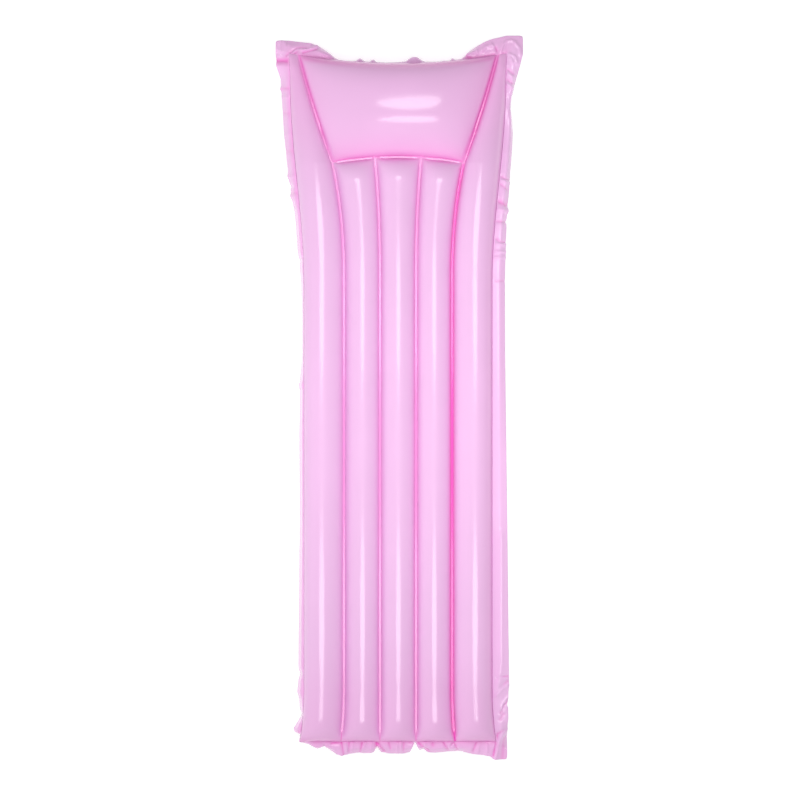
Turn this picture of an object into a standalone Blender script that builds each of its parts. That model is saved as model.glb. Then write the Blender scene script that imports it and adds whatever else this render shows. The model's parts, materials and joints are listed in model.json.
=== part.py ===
"""Inflatable pool float: five lengthwise air tubes and a pillow, made of two welded vinyl films.

Metres, +Z up. The float lies flat with its pillow towards +Y, and the origin is on the floor
under the middle of its outline. The upper and lower films are welded together along thin flat
strips and around a flange. Each of the two air chambers has a push-in valve on the underside.
"""

from math import asin, cos, pi, radians, sin, sqrt

import bmesh
import bpy
from mathutils import Matrix, Vector

# Film and welds
FILM = 0.0003
GAP = 0.0003
WELD_WIDTH = 0.005
FLANGE_WIDTH = 0.033

# Tubes of the inflated float, whose sections are arcs from weld to weld
TUBES = 5
TUBE_PITCH = 0.087
OUTER_TUBE_WIDTH = 0.0965
ARC_HALF_ANGLE = radians(76)
ARC_STEPS = 7
END_ROUNDING = 0.050
END_STEPS = 4
TIP_ROUNDING = 0.016

# Seams that run across the float, and the pillow's corners
FOOT_SEAM_Y = -0.828
PILLOW_CORNER = Vector((0.158, 0.566))
PILLOW_SEAM_BOW = 0.014
PILLOW_SIDE_BOW = 0.003
HEAD_CORNER = Vector((0.262, 0.829))
HEAD_SEAM_BOW = 0.024
TUBE_TIP_WIDTH = 0.020

# The float is wider where its tubes are drawn in less, beside the pillow and at the foot
HEAD_SWELL = 0.033
HEAD_SWELL_FROM_Y = 0.28
HEAD_SWELL_TO_Y = 0.76
WELD_FAN_FROM_Y = 0.30
INNER_WELD_FAN = 0.012
FOOT_SWELL_FROM_Y = -0.70
FOOT_SWELL = 0.010
FOOT_WELD_FAN = 0.007

# Pillow, which lifts the seams around it to half its own height. Its crown is a power curve each
# way: a higher flatness keeps the crown level further out, and a lower steepness makes steeper edges.
PILLOW_HALF_HEIGHT = 0.060
PILLOW_FLATNESS_ACROSS = 2.6
PILLOW_STEEPNESS_ACROSS = 0.5
PILLOW_FLATNESS_ALONG = 2.4
PILLOW_STEEPNESS_ALONG = 0.55
PILLOW_STEPS = 12
PILLOW_SPREAD = 1.25
PILLOW_SPREAD_BY = 0.3
LIFT_FROM_Y = 0.28
LIFT_TO_Y = 0.64
LIFT_STEPS = 5

# Flange, which lies out nearly flat on the right and at its corners, and hangs down elsewhere
HANG_LEFT = radians(78)
HANG_RIGHT = radians(12)
HANG_BESIDE_PILLOW = radians(50)
HANG_CORNER = radians(4)
HANG_HEAD = radians(72)
HANG_FOOT = radians(25)
HEAD_TAB = Vector((0.005, 0.009))
FOOT_TAB = 0.010
TAB_FROM_X = 0.190
TAB_FROM_Y = 0.755

# Valve, turned about its own axis, which points out of the film
BORE_RADIUS = 0.0040
STEM_WALL = 0.0020
STEM_DEPTH = 0.0150
RIM_HEIGHT = 0.0030
RIM_THICKNESS = 0.0015
RIM_OVERHANG = 0.0012
STRAP_LENGTH = 0.0033
STRAP_WIDTH = 0.0040
STRAP_THICKNESS = 0.0010
SLIDE_CLEARANCE = 0.0011
BASE_WIDTH = 0.0054
BASE_THICKNESS = 0.0010
BASE_LIP = 0.0004
COLLAR_THICKNESS = 0.0008
COLLAR_DEPTH = 0.0034
SKIRT_THICKNESS = 0.0006
SLEEVE_LENGTH = 0.0020
SLEEVE_SETBACK = 0.0010
CAP_INSET = 0.0008
CAP_THICKNESS = 0.0014
PLUG_LENGTH = 0.0055
PLUG_CLEARANCE = 0.0003
TAB_REACH = 0.0034
TAB_WIDTH = 0.0050
TAB_THICKNESS = 0.0008
FLAP_OVERLAP = 0.0010
FLAP_THICKNESS = 0.0005
FLAP_HINGE_WIDTH = 0.0040
FLAP_HINGE_INSET = 0.0004
TURN_STEPS = 24

STEM_RADIUS = BORE_RADIUS + STEM_WALL
RIM_RADIUS = STEM_RADIUS + RIM_OVERHANG
HINGE_REACH = RIM_RADIUS + STRAP_LENGTH
OPENING_RADIUS = HINGE_REACH + SLIDE_CLEARANCE
BASE_RADIUS = OPENING_RADIUS + BASE_WIDTH
SKIRT_DEPTH = STEM_DEPTH - SLEEVE_SETBACK - SLEEVE_LENGTH
CAP_RADIUS = RIM_RADIUS - CAP_INSET
CAP_BOTTOM = RIM_HEIGHT + GAP
HINGE_HEIGHT = CAP_BOTTOM + STRAP_THICKNESS / 2
FLAP_RADIUS = BORE_RADIUS + FLAP_OVERLAP
FLAP_HINGE_REACH = STEM_RADIUS - FLAP_HINGE_INSET

# Places of the valves: on the right outer tube's low flank, and under the pillow's head side
PAD_MARGIN = 0.0012
PAD_FADE = 0.016
TUBE_VALVE_Y = -0.450
PILLOW_VALVE_ROW = 9
PILLOW_VALVE_COLUMN = 6

# Colours of the vinyl film and of the softer, paler vinyl that the valves are moulded from
FILM_PINK = (0.90, 0.56, 0.85)
VALVE_PINK = (0.93, 0.70, 0.88)
PLUG_PINK = (0.84, 0.45, 0.72)
FILM_ROUGHNESS = 0.22
VALVE_ROUGHNESS = 0.30
STEM_ROUGHNESS = 0.28

# Edges that bend by more than these angles are shaded sharp
FILM_CREASE = radians(40)
VALVE_CREASE = radians(35)


def remove_all():
    for item in list(bpy.data.objects):
        bpy.data.objects.remove(item, do_unlink=True)


def vinyl(name, colour, roughness):
    material = bpy.data.materials.new(name)
    material.use_nodes = True
    shader = material.node_tree.nodes["Principled BSDF"]
    shader.inputs["Base Color"].default_value = (*colour, 1.0)
    shader.inputs["Roughness"].default_value = roughness
    shader.inputs["Metallic"].default_value = 0.0
    return material


def mix(a, b, t):
    return a + (b - a) * t


def ramp(value, low, high):
    return min(max((value - low) / (high - low), 0.0), 1.0)


def smooth(value, low, high):
    t = ramp(value, low, high)
    return t * t * (3 - 2 * t)


def side_seam(y):
    """Half the width between the outer tubes' outer seams."""
    straight = 1.5 * TUBE_PITCH + OUTER_TUBE_WIDTH
    foot = FOOT_SWELL * ramp(-y, -FOOT_SWELL_FROM_Y, -FOOT_SEAM_Y) ** 2
    head = straight + HEAD_SWELL * smooth(y, HEAD_SWELL_FROM_Y, HEAD_SWELL_TO_Y)
    return mix(head, HEAD_CORNER.x, ramp(y, HEAD_SWELL_TO_Y, HEAD_CORNER.y) ** 2) + foot


def outer_weld(y):
    """Half the distance between the welds beside the outer tubes, then the pillow's slanted sides."""
    if y > PILLOW_CORNER.y:
        top = HEAD_CORNER.x - TUBE_TIP_WIDTH - WELD_WIDTH / 2
        share = ramp(y, PILLOW_CORNER.y, HEAD_CORNER.y)
        return mix(PILLOW_CORNER.x, top, share) + PILLOW_SIDE_BOW * 4 * share * (1 - share)
    straight = 1.5 * TUBE_PITCH
    fan = (PILLOW_CORNER.x - straight) * ramp(y, WELD_FAN_FROM_Y, PILLOW_CORNER.y) ** 2
    return straight + fan + FOOT_WELD_FAN * ramp(-y, -FOOT_SWELL_FROM_Y, -FOOT_SEAM_Y) ** 2


def inner_weld(y):
    return TUBE_PITCH / 2 + INNER_WELD_FAN * ramp(y, WELD_FAN_FROM_Y, PILLOW_CORNER.y) ** 2


def tube_edges(tube, y):
    """The places across the float where a tube's film leaves its two welds."""
    half = WELD_WIDTH / 2
    welds = [-side_seam(y) - half, -outer_weld(y), -inner_weld(y)]
    welds += [-x for x in reversed(welds)]
    return welds[tube] + half, welds[tube + 1] - half


def pillow_seam(x):
    """The seam between the pillow and the three middle tubes, which bows towards the head."""
    return PILLOW_CORNER.y + PILLOW_SEAM_BOW * (1 - ramp(abs(x), 0, PILLOW_CORNER.x) ** 2)


def head_seam(x):
    """The pillow's top seam, which the air draws in between its corners."""
    return HEAD_CORNER.y - HEAD_SEAM_BOW * (1 - ramp(abs(x), 0, HEAD_CORNER.x) ** 2)


def arc_height(width, angle):
    """Height of an arc of film above its welds, at this angle from its crown."""
    return width / 2 * (cos(angle) - cos(ARC_HALF_ANGLE)) / sin(ARC_HALF_ANGLE)


def tube_half_height(width):
    """Half the height of a tube, measured over its flat crown facets."""
    return arc_height(width, ARC_HALF_ANGLE / ARC_STEPS)


def end_height(distance, rounding=END_ROUNDING):
    """Share of its full height that a tube has at this distance from its closed end."""
    return sqrt(1 - (1 - ramp(distance, 0, rounding)) ** 2)


def seam_level(x, y):
    """Height of the welds above the floor, at which every tube just rests on it."""
    inner = tube_half_height(max(2 * inner_weld(y), outer_weld(y) - inner_weld(y)) - WELD_WIDTH)
    left, right = tube_edges(TUBES - 1, y)
    low_corner = (1 - sin(ARC_HALF_ANGLE / ARC_STEPS) / sin(ARC_HALF_ANGLE)) / 2
    outer = inner + (tube_half_height(right - left) - inner) / low_corner
    flat = mix(inner, outer, ramp(abs(x), left, right))
    lifted = mix(flat, PILLOW_HALF_HEIGHT, smooth(y, LIFT_FROM_Y, LIFT_TO_Y))
    return lifted + GAP / 2 + FILM


def body_rows():
    """Places along the tubes, from the foot seam to the pillow's seam."""
    ends = [1 - sin(pi / 2 * (1 - k / END_STEPS)) for k in range(END_STEPS + 1)]
    foot = [FOOT_SEAM_Y + END_ROUNDING * share for share in ends]
    pad = BASE_RADIUS + PAD_MARGIN
    valve = [TUBE_VALVE_Y + offset for offset in (-pad - PAD_FADE, -pad, pad, pad + PAD_FADE)]
    tube_end = PILLOW_CORNER.y - WELD_WIDTH / 2
    rise_end = tube_end - END_ROUNDING
    rise = [mix(LIFT_FROM_Y, rise_end, k / LIFT_STEPS) for k in range(LIFT_STEPS)]
    head = [tube_end - END_ROUNDING * share for share in reversed(ends)]
    return foot + valve + rise + head


def pillow_rows():
    """Shares of the way from the pillow's lower seam to its top seam, close together at both."""
    return [(1 - cos(pi * k / PILLOW_STEPS)) / 2 for k in range(PILLOW_STEPS + 1)]


def tube_point(tube, step, y, angles):
    """Across and height of a tube's film, at one of the steps of its arc."""
    left, right = tube_edges(tube, y)
    angle = angles[step]
    across = mix(left, right, (1 + sin(angle) / sin(ARC_HALF_ANGLE)) / 2)
    return across, arc_height(right - left, angle)


def even_angles():
    return [ARC_HALF_ANGLE * (2 * step / ARC_STEPS - 1) for step in range(ARC_STEPS + 1)]


def valve_angles(y):
    """Arc angles that leave a flat facet for the valve's base just below the side seam."""
    left, right = tube_edges(TUBES - 1, y)
    radius = (right - left) / 2 / sin(ARC_HALF_ANGLE)
    pad = BASE_RADIUS + PAD_MARGIN
    top = ARC_HALF_ANGLE - 2 * asin(PAD_MARGIN / radius)
    bottom = top - 2 * asin(pad / radius)
    near = 1 - ramp(abs(y - TUBE_VALVE_Y), pad, pad + PAD_FADE)
    angles = even_angles()
    angles[-2] = mix(angles[-2], top, near)
    angles[-3] = mix(angles[-3], bottom, near)
    return angles


def body_row(y, side):
    """One row of film points across the tubes, each as across, along and height above the welds."""
    row = []
    for tube in range(TUBES):
        middle = 0 < tube < TUBES - 1
        angles = valve_angles(y) if side < 0 and tube == TUBES - 1 else even_angles()
        for step in range(ARC_STEPS + 1):
            across, height = tube_point(tube, step, y, angles)
            bow = (pillow_seam(across) - PILLOW_CORNER.y) * smooth(y, LIFT_FROM_Y, PILLOW_CORNER.y)
            height *= end_height(y - FOOT_SEAM_Y)
            if middle:
                height *= end_height(PILLOW_CORNER.y - WELD_WIDTH / 2 - y)
            row.append((across, y + bow, height))
    return row


def pillow_height(across, along):
    """Height of the pillow, from -1 to 1 between its seams each way."""
    side = (1 - abs(across) ** PILLOW_FLATNESS_ACROSS) ** PILLOW_STEEPNESS_ACROSS
    end = (1 - abs(along) ** PILLOW_FLATNESS_ALONG) ** PILLOW_STEEPNESS_ALONG
    return PILLOW_HALF_HEIGHT * side * end


def pillow_row(share):
    """One row of film points across the two tapering outer tubes and the pillow between them."""
    y = mix(PILLOW_CORNER.y, HEAD_CORNER.y, share)
    half = outer_weld(y) - WELD_WIDTH / 2
    last = (TUBES - 2) * (ARC_STEPS + 1) - 1
    row = []
    for tube in range(TUBES):
        for step in range(ARC_STEPS + 1):
            if tube in (0, TUBES - 1):
                across, height = tube_point(tube, step, y, even_angles())
                row.append((across, y, height * end_height(HEAD_CORNER.y - y, TIP_ROUNDING)))
                continue
            place = 2 * ((tube - 1) * (ARC_STEPS + 1) + step) / last - 1
            even = half * sin(PILLOW_SPREAD * place) / sin(PILLOW_SPREAD)
            at_seam = tube_point(tube, step, PILLOW_CORNER.y, even_angles())[0]
            across = mix(at_seam, even, smooth(share, 0, PILLOW_SPREAD_BY))
            start = pillow_seam(across) + WELD_WIDTH / 2
            along = mix(start, head_seam(across), share)
            height = pillow_height(min(abs(across) / half, 1), 2 * share - 1)
            row.append((across, along, height))
    return row


def side_hang(side, y):
    """Angle at which the flange hangs, beside the tubes."""
    body = HANG_RIGHT if side > 0 else HANG_LEFT
    corner = HANG_CORNER if side > 0 else HANG_FOOT
    foot = mix(body, corner, smooth(-y, -FOOT_SWELL_FROM_Y, -FOOT_SEAM_Y))
    pillow = mix(foot, HANG_BESIDE_PILLOW, smooth(y, LIFT_FROM_Y, PILLOW_CORNER.y))
    return mix(pillow, HANG_CORNER, smooth(y, TAB_FROM_Y, HEAD_CORNER.y))


def end_hang(end, x):
    """Angle at which the flange hangs, beyond the pillow and beyond the foot."""
    if end > 0:
        return mix(HANG_HEAD, HANG_CORNER, smooth(abs(x), TAB_FROM_X / 2, TAB_FROM_X))
    return mix(HANG_FOOT, HANG_CORNER, smooth(x, TAB_FROM_X, side_seam(FOOT_SEAM_Y)))


def tab_reach(x, y):
    """How much further the flange reaches at the head's corners and the foot's right corner."""
    across = HEAD_TAB.x * ramp(y, TAB_FROM_Y, HEAD_CORNER.y) ** 2
    if y > 0:
        return across, HEAD_TAB.y * ramp(abs(x), TAB_FROM_X, HEAD_CORNER.x) ** 2
    return across, FOOT_TAB * ramp(x, TAB_FROM_X, side_seam(y)) ** 2


def beside(point, side):
    """The flange's outer edge beside a point of the side seam."""
    hang = side_hang(side, point.y)
    reach = FLANGE_WIDTH * cos(hang) + tab_reach(point.x, point.y)[0]
    return point + Vector((side * reach, 0, -FLANGE_WIDTH * sin(hang)))


def beyond(point, end):
    """The flange's outer edge beyond a point of the foot seam or the head seam."""
    hang = end_hang(end, point.x)
    reach = FLANGE_WIDTH * cos(hang) + tab_reach(point.x, point.y)[1]
    return point + Vector((0, end * reach, -FLANGE_WIDTH * sin(hang)))


def with_flange(rows):
    """The welds' own surface with the flange added as a row or column on each side."""
    wide = [[beside(row[0], -1), *row, beside(row[-1], 1)] for row in rows]
    foot = [beyond(point, -1) for point in wide[0]]
    head = [beyond(point, 1) for point in wide[-1]]
    return [foot, *wide, head]


def normal_at(grid, i, j):
    """The upward normal of a grid of points, from its neighbours."""
    rows, columns = len(grid) - 1, len(grid[0]) - 1
    along = grid[min(i + 1, rows)][j] - grid[max(i - 1, 0)][j]
    across = grid[i][min(j + 1, columns)] - grid[i][max(j - 1, 0)]
    return across.cross(along).normalized()


def film_grid(side):
    """Points of one film's inner face, row by row from the foot to the head."""
    plan = [body_row(y, side) for y in body_rows()] + [pillow_row(share) for share in pillow_rows()]
    welds = with_flange([[Vector((x, y, seam_level(x, y))) for x, y, _ in row] for row in plan])
    flat = [0.0] * len(welds[0])
    heights = [flat] + [[0.0] + [height for *_, height in row] + [0.0] for row in plan] + [flat]
    grid = []
    for i, row in enumerate(welds):
        lifted = [point + normal_at(welds, i, j) * side * GAP / 2 for j, point in enumerate(row)]
        grid.append([point + Vector((0, 0, side * heights[i][j])) for j, point in enumerate(lifted)])
    return grid


def frame_on(corners, along):
    """A valve's frame on a flat pad: its origin on the film's outer face, z out of the film."""
    centre = sum(corners, Vector()) / 4
    out = (corners[2] - corners[0]).cross(corners[3] - corners[1]).normalized()
    if out.z > 0:
        out = -out
    along = (along - out * along.dot(out)).normalized()
    axes = Matrix((along, out.cross(along), out)).transposed().to_4x4()
    return Matrix.Translation(centre + out * FILM) @ axes


def tube_valve_frame(grid):
    """The flat facet that valve_angles leaves on the right outer tube."""
    pad = BASE_RADIUS + PAD_MARGIN
    rows = body_rows()
    low, high = rows.index(TUBE_VALVE_Y - pad) + 1, rows.index(TUBE_VALVE_Y + pad) + 1
    inner, outer = len(grid[0]) - 4, len(grid[0]) - 3
    corners = [grid[low][inner], grid[low][outer], grid[high][outer], grid[high][inner]]
    return frame_on(corners, Vector((0, 1, 0)))


def pillow_valve_frame(grid):
    """Lays a square of the pillow's film flat for the valve, and gives the valve's frame there."""
    pad = BASE_RADIUS + PAD_MARGIN
    row = len(body_rows()) + PILLOW_VALVE_ROW + 1
    column = ARC_STEPS + 2 + PILLOW_VALVE_COLUMN
    around = ((-1, -1), (-1, 1), (1, 1), (1, -1))
    frame = frame_on([grid[row + i][column + j].copy() for i, j in around], Vector((1, 0, 0)))
    for i in (-1, 0, 1):
        for j in (-1, 0, 1):
            grid[row + i][column + j] = frame @ Vector((pad * j, -pad * i, -FILM))
    return frame


def add_object(name, mesh, material, parent=None, location=(0, 0, 0)):
    mesh.materials.append(material)
    item = bpy.data.objects.new(name, mesh)
    bpy.context.collection.objects.link(item)
    item.parent = parent
    item.location = location
    return item


def add_empty(name, matrix, parent=None):
    item = bpy.data.objects.new(name, None)
    bpy.context.collection.objects.link(item)
    item.empty_display_size = BASE_RADIUS
    item.parent = parent
    item.matrix_local = matrix
    return item


def film_sheet(name, grid, side):
    """A welded film: its inner face as a grid, split the same way on both films, thickened outwards."""
    width = len(grid[0])
    faces = []
    for i in range(len(grid) - 1):
        for j in range(width - 1):
            corner = i * width + j
            for face in (
                (corner, corner + 1, corner + width + 1),
                (corner, corner + width + 1, corner + width),
            ):
                faces.append(face if side > 0 else face[::-1])
    mesh = bpy.data.meshes.new(name)
    mesh.from_pydata([point for row in grid for point in row], [], faces)
    mesh.shade_smooth()
    mesh.set_sharp_from_angle(angle=FILM_CREASE)
    sheet = add_object(name, mesh, vinyl(name, FILM_PINK, FILM_ROUGHNESS))
    wall = sheet.modifiers.new("film_thickness", "SOLIDIFY")
    wall.thickness = FILM
    wall.offset = 1.0
    wall.use_even_offset = True
    return sheet


def turned_mesh(name, profile, closed):
    """A profile of (radius, height) points turned about the valve's axis."""
    shape = bmesh.new()
    points = [shape.verts.new((radius, 0, height)) for radius, height in profile]
    following = points[1:] + points[:1] if closed else points[1:]
    edges = [shape.edges.new(pair) for pair in zip(points, following)]
    bmesh.ops.spin(
        shape, geom=points + edges, axis=(0, 0, 1), angle=2 * pi, steps=TURN_STEPS, use_merge=True
    )
    bmesh.ops.remove_doubles(shape, verts=shape.verts, dist=1e-6)
    return finished_mesh(name, shape)


def bar_mesh(name, low, high):
    """A plain bar between two opposite corners."""
    shape = bmesh.new()
    bmesh.ops.create_cube(shape, size=1.0)
    size = Vector(high) - Vector(low)
    bmesh.ops.scale(shape, vec=size, verts=shape.verts)
    bmesh.ops.translate(shape, vec=Vector(low) + size / 2, verts=shape.verts)
    return finished_mesh(name, shape)


def finished_mesh(name, shape):
    bmesh.ops.recalc_face_normals(shape, faces=shape.faces)
    mesh = bpy.data.meshes.new(name)
    shape.to_mesh(mesh)
    shape.free()
    mesh.shade_smooth()
    mesh.set_sharp_from_angle(angle=VALVE_CREASE)
    return mesh


def add_boolean(item, other, operation):
    """Joins or cuts with a helper shape, which itself stays out of the model."""
    other.hide_render = True
    other.display_type = "WIRE"
    step = item.modifiers.new(f"{operation.lower()}_{other.name}", "BOOLEAN")
    step.operation = operation
    step.solver = "EXACT"
    step.object = other


def valve_base(name, valve):
    """The disc welded to the film, with a collar that goes down through the hole."""
    neck = OPENING_RADIUS + COLLAR_THICKNESS
    top = GAP + BASE_THICKNESS
    profile = [
        (OPENING_RADIUS, -COLLAR_DEPTH),
        (neck, -COLLAR_DEPTH),
        (neck, GAP),
        (BASE_RADIUS, GAP),
        (BASE_RADIUS, GAP + BASE_THICKNESS / 2),
        (BASE_RADIUS - BASE_THICKNESS / 2, top),
        (neck, top),
        (neck - COLLAR_THICKNESS / 2, top + BASE_LIP),
        (OPENING_RADIUS, top + BASE_LIP),
    ]
    mesh = turned_mesh(name, profile, True)
    return add_object(name, mesh, vinyl(name, VALVE_PINK, VALVE_ROUGHNESS), valve)


def valve_skirt(name, valve):
    """The thin cone that folds over as the stem is pushed in or pulled out."""
    outside = OPENING_RADIUS - GAP
    inside = STEM_RADIUS + GAP
    profile = [
        (outside, -GAP),
        (outside, -COLLAR_DEPTH),
        (inside + SKIRT_THICKNESS, -SKIRT_DEPTH),
        (inside + SKIRT_THICKNESS, -SKIRT_DEPTH - SLEEVE_LENGTH),
        (inside, -SKIRT_DEPTH - SLEEVE_LENGTH),
        (inside, -SKIRT_DEPTH + SKIRT_THICKNESS / 2),
        (outside - SKIRT_THICKNESS, -COLLAR_DEPTH + SKIRT_THICKNESS / 2),
        (outside - SKIRT_THICKNESS, -GAP),
    ]
    mesh = turned_mesh(name, profile, True)
    return add_object(name, mesh, vinyl(name, VALVE_PINK, VALVE_ROUGHNESS), valve)


def valve_stem(name, valve):
    """The tube that is blown into, with a rim, and a lug that carries the plug's strap."""
    under_rim = RIM_HEIGHT - RIM_THICKNESS
    profile = [
        (BORE_RADIUS, -STEM_DEPTH),
        (STEM_RADIUS, -STEM_DEPTH),
        (STEM_RADIUS, under_rim),
        (RIM_RADIUS, under_rim),
        (RIM_RADIUS, RIM_HEIGHT),
        (BORE_RADIUS, RIM_HEIGHT),
    ]
    mesh = turned_mesh(name, profile, True)
    stem = add_object(name, mesh, vinyl(name, VALVE_PINK, STEM_ROUGHNESS), valve)
    low = (STEM_RADIUS - STEM_WALL / 2, -STRAP_WIDTH / 2, under_rim + GAP)
    high = (HINGE_REACH, STRAP_WIDTH / 2, RIM_HEIGHT - GAP / 2)
    lug = bar_mesh(f"{name}_lug_shape", low, high)
    add_boolean(stem, add_object(lug.name, lug, stem.active_material, valve), "UNION")
    return stem


def plug_radius(height):
    """The widest that the plug can be at this height and still swing out of the bore."""
    depth = HINGE_HEIGHT - height
    free = sqrt((HINGE_REACH + BORE_RADIUS) ** 2 - depth**2) - HINGE_REACH
    return free - PLUG_CLEARANCE


def valve_plug(name, hinge, origin):
    """The stopper with its cap, and a tab on the cap to lift it by."""
    top = CAP_BOTTOM + CAP_THICKNESS
    tip = CAP_BOTTOM - PLUG_LENGTH
    round_off = PLUG_CLEARANCE * 2
    profile = [
        (0, tip),
        (plug_radius(tip) - round_off, tip),
        (plug_radius(tip), tip + round_off),
        (plug_radius(CAP_BOTTOM), CAP_BOTTOM),
        (CAP_RADIUS, CAP_BOTTOM),
        (CAP_RADIUS, top - round_off / 2),
        (CAP_RADIUS - round_off / 2, top),
        (0, top),
    ]
    mesh = turned_mesh(name, profile, False)
    plug = add_object(name, mesh, vinyl(name, PLUG_PINK, STEM_ROUGHNESS), hinge, -origin)
    low = (-CAP_RADIUS - TAB_REACH, -TAB_WIDTH / 2, CAP_BOTTOM + GAP)
    high = (-CAP_RADIUS + TAB_REACH / 2, TAB_WIDTH / 2, CAP_BOTTOM + GAP + TAB_THICKNESS)
    tab = bar_mesh(f"{name}_tab_shape", low, high)
    add_boolean(plug, add_object(tab.name, tab, plug.active_material, hinge, -origin), "UNION")
    return plug


def valve_strap(name, hinge, origin):
    """The short band that bends between the stem's lug and the plug's cap."""
    low = (CAP_RADIUS + GAP, -STRAP_WIDTH / 2, CAP_BOTTOM)
    high = (HINGE_REACH, STRAP_WIDTH / 2, CAP_BOTTOM + STRAP_THICKNESS)
    mesh = bar_mesh(name, low, high)
    return add_object(name, mesh, vinyl(name, PLUG_PINK, STEM_ROUGHNESS), hinge, -origin)


def valve_flap(name, hinge, origin):
    """The disc that the air presses against the stem's inner end, with a tab where it bends."""
    half = FLAP_HINGE_WIDTH / 2
    start = pi - asin(half / FLAP_RADIUS)
    outline = [(-FLAP_HINGE_REACH, half)]
    for k in range(TURN_STEPS + 1):
        angle = mix(start, -start, k / TURN_STEPS)
        outline.append((FLAP_RADIUS * cos(angle), FLAP_RADIUS * sin(angle)))
    outline.append((-FLAP_HINGE_REACH, -half))
    shape = bmesh.new()
    face = shape.faces.new([shape.verts.new((x, y, -STEM_DEPTH - GAP)) for x, y in outline])
    made = bmesh.ops.extrude_face_region(shape, geom=[face])["geom"]
    moved = [item for item in made if isinstance(item, bmesh.types.BMVert)]
    bmesh.ops.translate(shape, vec=(0, 0, -FLAP_THICKNESS), verts=moved)
    mesh = finished_mesh(name, shape)
    return add_object(name, mesh, vinyl(name, VALVE_PINK, VALVE_ROUGHNESS), hinge, -origin)


def add_valve(name, frame, sheet):
    """One push-in valve in its frame, and the hole for it in the film."""
    valve = add_empty(f"{name}_axis", frame)
    valve_base(f"{name}_base", valve)
    valve_skirt(f"{name}_skirt", valve)
    valve_stem(f"{name}_stem", valve)
    plug_origin = Vector((HINGE_REACH, 0, HINGE_HEIGHT))
    plug_hinge = add_empty(f"{name}_plug_hinge", Matrix.Translation(plug_origin), valve)
    valve_plug(f"{name}_plug", plug_hinge, plug_origin)
    valve_strap(f"{name}_strap", plug_hinge, plug_origin)
    flap_origin = Vector((-FLAP_HINGE_REACH, 0, -STEM_DEPTH - GAP / 2))
    flap_hinge = add_empty(f"{name}_flap_hinge", Matrix.Translation(flap_origin), valve)
    valve_flap(f"{name}_flap", flap_hinge, flap_origin)
    hole = OPENING_RADIUS + COLLAR_THICKNESS + GAP
    cutter = turned_mesh(f"{name}_hole_shape", [(0, -hole), (hole, -hole), (hole, hole), (0, hole)], False)
    add_boolean(sheet, add_object(cutter.name, cutter, sheet.active_material, valve), "DIFFERENCE")


def build():
    remove_all()
    film_sheet("upper_sheet", film_grid(1), 1)
    lower = film_grid(-1)
    frames = {"tube_valve": tube_valve_frame(lower), "pillow_valve": pillow_valve_frame(lower)}
    sheet = film_sheet("lower_sheet", lower, -1)
    for name, frame in frames.items():
        add_valve(name, frame, sheet)


build()
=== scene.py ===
# %% [markdown]
# # A pool float of pale pink vinyl
#
# The float lies flat on a white floor, seen from straight above, with its pillow towards +Y.
# It is made of two films of vinyl, welded to each other along thin strips. Air fills the five
# tubes and the pillow, and the films' spare margin stands out round them as a flange.
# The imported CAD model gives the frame: every piece here is worked out in metres in its place.

# %% Load the frame
import json
from math import cos, pi, radians, sin

import bmesh
import bpy
import numpy as np
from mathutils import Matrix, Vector


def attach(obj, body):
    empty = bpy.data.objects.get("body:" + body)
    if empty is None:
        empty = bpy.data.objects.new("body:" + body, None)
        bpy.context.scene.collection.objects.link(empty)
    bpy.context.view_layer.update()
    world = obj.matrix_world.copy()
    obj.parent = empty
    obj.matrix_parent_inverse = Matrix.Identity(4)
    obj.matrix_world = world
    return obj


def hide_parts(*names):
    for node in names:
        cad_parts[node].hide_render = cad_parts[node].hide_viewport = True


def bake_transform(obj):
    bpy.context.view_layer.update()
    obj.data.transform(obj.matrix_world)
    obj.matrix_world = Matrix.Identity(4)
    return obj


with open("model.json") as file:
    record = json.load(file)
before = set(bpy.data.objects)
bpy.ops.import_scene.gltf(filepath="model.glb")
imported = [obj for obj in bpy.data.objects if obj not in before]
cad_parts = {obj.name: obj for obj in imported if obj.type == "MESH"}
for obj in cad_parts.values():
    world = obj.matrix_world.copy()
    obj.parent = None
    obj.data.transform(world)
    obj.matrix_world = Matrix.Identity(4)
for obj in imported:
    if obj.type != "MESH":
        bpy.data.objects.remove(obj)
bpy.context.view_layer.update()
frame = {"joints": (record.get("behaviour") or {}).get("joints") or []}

joints = {joint["name"]: joint for joint in frame["joints"]}

# %% [markdown]
# ## The sizes of the float
#
# These are the sizes that the CAD part is built from, so the fine surfaces made here lie in the
# same places as its solids. The tubes' sections are arcs of film between two welds. Three forms
# differ a little from the CAD's, as the photo's highlights ask: the pillow's crest lies nearer
# the head, and beside the pillow the seams rise more gently and the middle tubes are lower.

# %% Sizes
FILM = 0.0003
GAP = 0.0003
WELD_WIDTH = 0.005

TUBES = 5
TUBE_PITCH = 0.087
OUTER_TUBE_WIDTH = 0.0965
OUTER_WELD_X = (TUBES - 2) / 2 * TUBE_PITCH
ARC_HALF_ANGLE = radians(76)
CAD_ARC_STEPS = 7
END_ROUNDING = 0.050
TIP_ROUNDING = 0.040
END_ANGLE = radians(78)

FOOT_SEAM_Y = -0.828
PILLOW_CORNER = Vector((0.158, 0.566))
PILLOW_SEAM_BOW = 0.014
PILLOW_SIDE_BOW = 0.003
HEAD_CORNER = Vector((0.262, 0.829))
HEAD_SEAM_BOW = 0.024
TUBE_TIP_WIDTH = 0.020

HEAD_SWELL = 0.033
HEAD_SWELL_FROM_Y = 0.28
HEAD_SWELL_TO_Y = 0.76
WELD_FAN_FROM_Y = 0.30
INNER_WELD_FAN = 0.012
FOOT_SWELL_FROM_Y = -0.70
FOOT_SWELL = 0.010
FOOT_WELD_FAN = 0.007

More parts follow.
